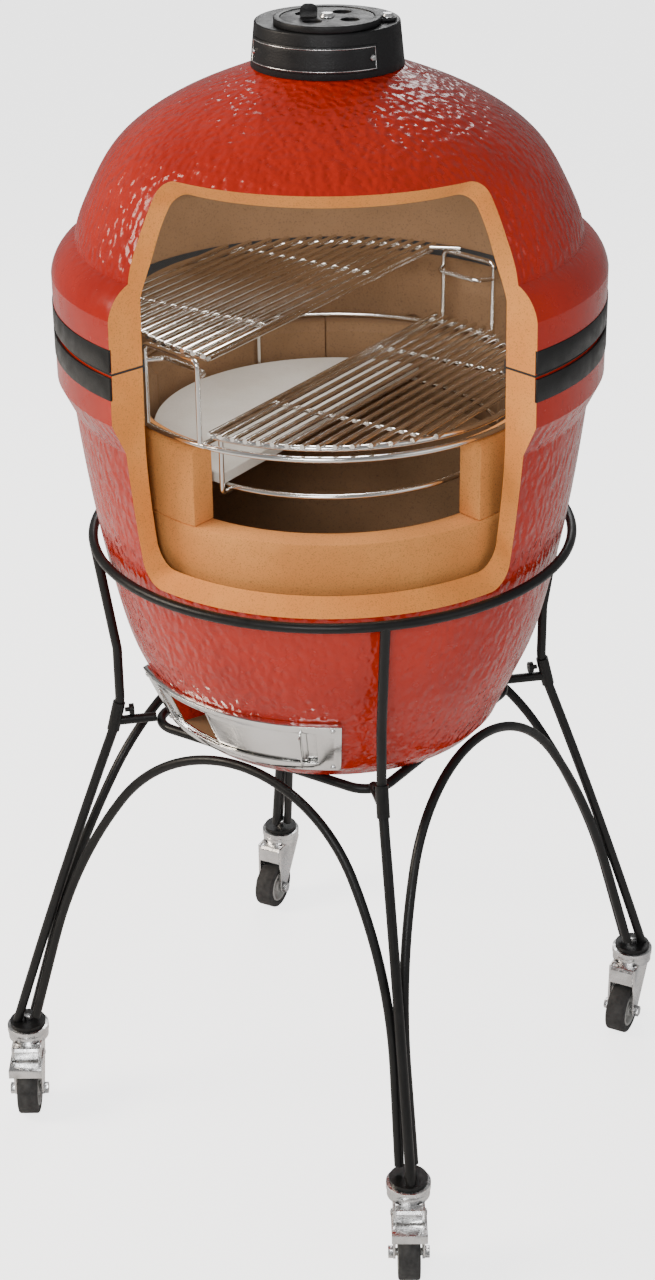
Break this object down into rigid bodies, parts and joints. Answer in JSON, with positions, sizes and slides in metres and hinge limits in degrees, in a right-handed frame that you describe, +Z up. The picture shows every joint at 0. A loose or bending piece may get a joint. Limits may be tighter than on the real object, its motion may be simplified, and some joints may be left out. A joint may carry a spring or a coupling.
{
  "type": "kamado_grill",
  "caption": "Cutaway ceramic kamado grill on a black tube cart with swivel casters, hinged lid, top vent, sliding draft door and half-round grates",
  "frame": {"origin": "on the floor, under the vertical axis of the grill body", "axes": "+Z up, -Y is the front with the draft door, +X is to the right when looking at the front"},
  "size_m": [0.5618, 0.6013, 1.1972],
  "materials": {
    "glazed_shell": "glossy dimpled red-orange glaze outside, bare speckled terracotta on the cut faces",
    "refractory": "bare speckled tan refractory ceramic",
    "deflector": "pale off-white cordierite",
    "gasket": "dark grey woven fibre",
    "band": "satin black band",
    "black_cart": "black powder coat",
    "vent_coat": "dark grey textured powder coat",
    "stainless": "polished stainless wire",
    "draft_steel": "polished stainless sheet",
    "zinc": "bright zinc plating",
    "iron": "dark cast iron",
    "tyre": "dark grey rubber",
    "hub": "light grey moulded hub"
  },
  "bodies": {
    "grill": {"base_shell": "glazed_shell", "base_band": "band", "draft_frame": "draft_steel", "draft_rivets": "zinc", "hinge_lower_bracket": "band", "hinge_bolts_base": "zinc", "hinge_pin": "zinc", "firebox_bowl": "refractory", "firebox_panel_1": "refractory", "firebox_panel_2": "refractory", "firebox_panel_3": "refractory", "firebox_panel_4": "refractory", "fire_grate": "iron", "rack_frame": "stainless", "cart_top_ring": "black_cart", "cart_lower_ring": "black_cart", "cart_thumb_screws": "black_cart", "caster_stems": "zinc", "cart_leg_fl": "black_cart", "cart_leg_fr": "black_cart", "cart_leg_br": "black_cart", "cart_leg_bl": "black_cart", "cart_arc_front": "black_cart", "cart_arc_right": "black_cart", "cart_arc_back": "black_cart", "cart_arc_left": "black_cart"},
    "lid": {"lid_shell": "glazed_shell", "lid_band": "band", "lid_gasket": "gasket", "hinge_upper_bracket": "band", "hinge_bolts_lid": "zinc", "vent_body": "vent_coat", "vent_plate": "vent_coat", "vent_plate_rivets": "zinc", "vent_pivot_screw": "zinc"},
    "vent_cap": {"vent_cap": "vent_coat", "vent_disc_screw": "zinc"},
    "vent_disc": {"vent_disc": "vent_coat"},
    "draft_door": {"draft_door": "draft_steel"},
    "lower_grate": {"lower_grate": "stainless"},
    "upper_grate": {"upper_grate": "stainless"},
    "heat_deflector": {"heat_deflector": "deflector"},
    "fork_fl": {"caster_fork_fl": "zinc", "caster_axle_fl": "zinc"},
    "wheel_fl": {"caster_hub_fl": "hub", "caster_tyre_fl": "tyre"},
    "brake_fl": {"brake_pedal_fl": "zinc"},
    "fork_fr": {"caster_fork_fr": "zinc", "caster_axle_fr": "zinc"},
    "wheel_fr": {"caster_hub_fr": "hub", "caster_tyre_fr": "tyre"},
    "brake_fr": {"brake_pedal_fr": "zinc"},
    "fork_br": {"caster_fork_br": "zinc", "caster_axle_br": "zinc"},
    "wheel_br": {"caster_hub_br": "hub", "caster_tyre_br": "tyre"},
    "fork_bl": {"caster_fork_bl": "zinc", "caster_axle_bl": "zinc"},
    "wheel_bl": {"caster_hub_bl": "hub", "caster_tyre_bl": "tyre"}
  },
  "joints": [
    {"name": "lid_hinge", "type": "hinge", "parent": "grill", "child": "lid", "pos_m": [0, 0.292, 0.897], "axis": [-1, 0, 0], "range_deg": [0, 65]},
    {"name": "vent_cap_pivot", "type": "hinge", "parent": "lid", "child": "vent_cap", "pos_m": [0.05247, 0.02227, 1.181], "axis": [0, 0, 1], "range_deg": [0, 100]},
    {"name": "vent_disc_turn", "type": "hinge", "parent": "vent_cap", "child": "vent_disc", "pos_m": [0.00995, -0.015, 1.184], "axis": [0, 0, 1], "range_deg": [0, 45]},
    {"name": "draft_door_slide", "type": "hinge", "parent": "grill", "child": "draft_door", "pos_m": [0, 0, 0.514], "axis": [0, 0, 1], "range_deg": [-20, 0]},
    {"name": "lower_grate_lift", "type": "slide", "parent": "grill", "child": "lower_grate", "axis": [0, 0, 1], "range_m": [0, 0.045]},
    {"name": "upper_grate_lift", "type": "slide", "parent": "grill", "child": "upper_grate", "axis": [0, 0, 1], "range_m": [0, 0.06]},
    {"name": "deflector_lift", "type": "slide", "parent": "grill", "child": "heat_deflector", "axis": [0, 0, 1], "range_m": [0, 0.06]},
    {"name": "caster_swivel_fl", "type": "hinge", "parent": "grill", "child": "fork_fl", "pos_m": [-0.2477, -0.2477, 0.088], "axis": [0, 0, 1], "continuous": true},
    {"name": "wheel_roll_fl", "type": "hinge", "parent": "fork_fl", "child": "wheel_fl", "pos_m": [-0.23444, -0.2677, 0.028], "axis": [-0.8334, -0.5527, 0], "continuous": true},
    {"name": "brake_press_fl", "type": "hinge", "parent": "fork_fl", "child": "brake_fl", "pos_m": [-0.24107, -0.2577, 0.068], "axis": [0.8334, 0.5527, 0], "range_deg": [0, 15]},
    {"name": "caster_swivel_fr", "type": "hinge", "parent": "grill", "child": "fork_fr", "pos_m": [0.2477, -0.2477, 0.088], "axis": [0, 0, 1], "continuous": true},
    {"name": "wheel_roll_fr", "type": "hinge", "parent": "fork_fr", "child": "wheel_fr", "pos_m": [0.26096, -0.2677, 0.028], "axis": [-0.8334, -0.5527, 0], "continuous": true},
    {"name": "brake_press_fr", "type": "hinge", "parent": "fork_fr", "child": "brake_fr", "pos_m": [0.25433, -0.2577, 0.068], "axis": [0.8334, 0.5527, 0], "range_deg": [0, 15]},
    {"name": "caster_swivel_br", "type": "hinge", "parent": "grill", "child": "fork_br", "pos_m": [0.2477, 0.2477, 0.088], "axis": [0, 0, 1], "continuous": true},
    {"name": "wheel_roll_br", "type": "hinge", "parent": "fork_br", "child": "wheel_br", "pos_m": [0.25042, 0.22385, 0.028], "axis": [-0.9936, -0.1132, 0], "continuous": true},
    {"name": "caster_swivel_bl", "type": "hinge", "parent": "grill", "child": "fork_bl", "pos_m": [-0.2477, 0.2477, 0.088], "axis": [0, 0, 1], "continuous": true},
    {"name": "wheel_roll_bl", "type": "hinge", "parent": "fork_bl", "child": "wheel_bl", "pos_m": [-0.24498, 0.22385, 0.028], "axis": [-0.9936, -0.1132, 0], "continuous": true}
  ]
}
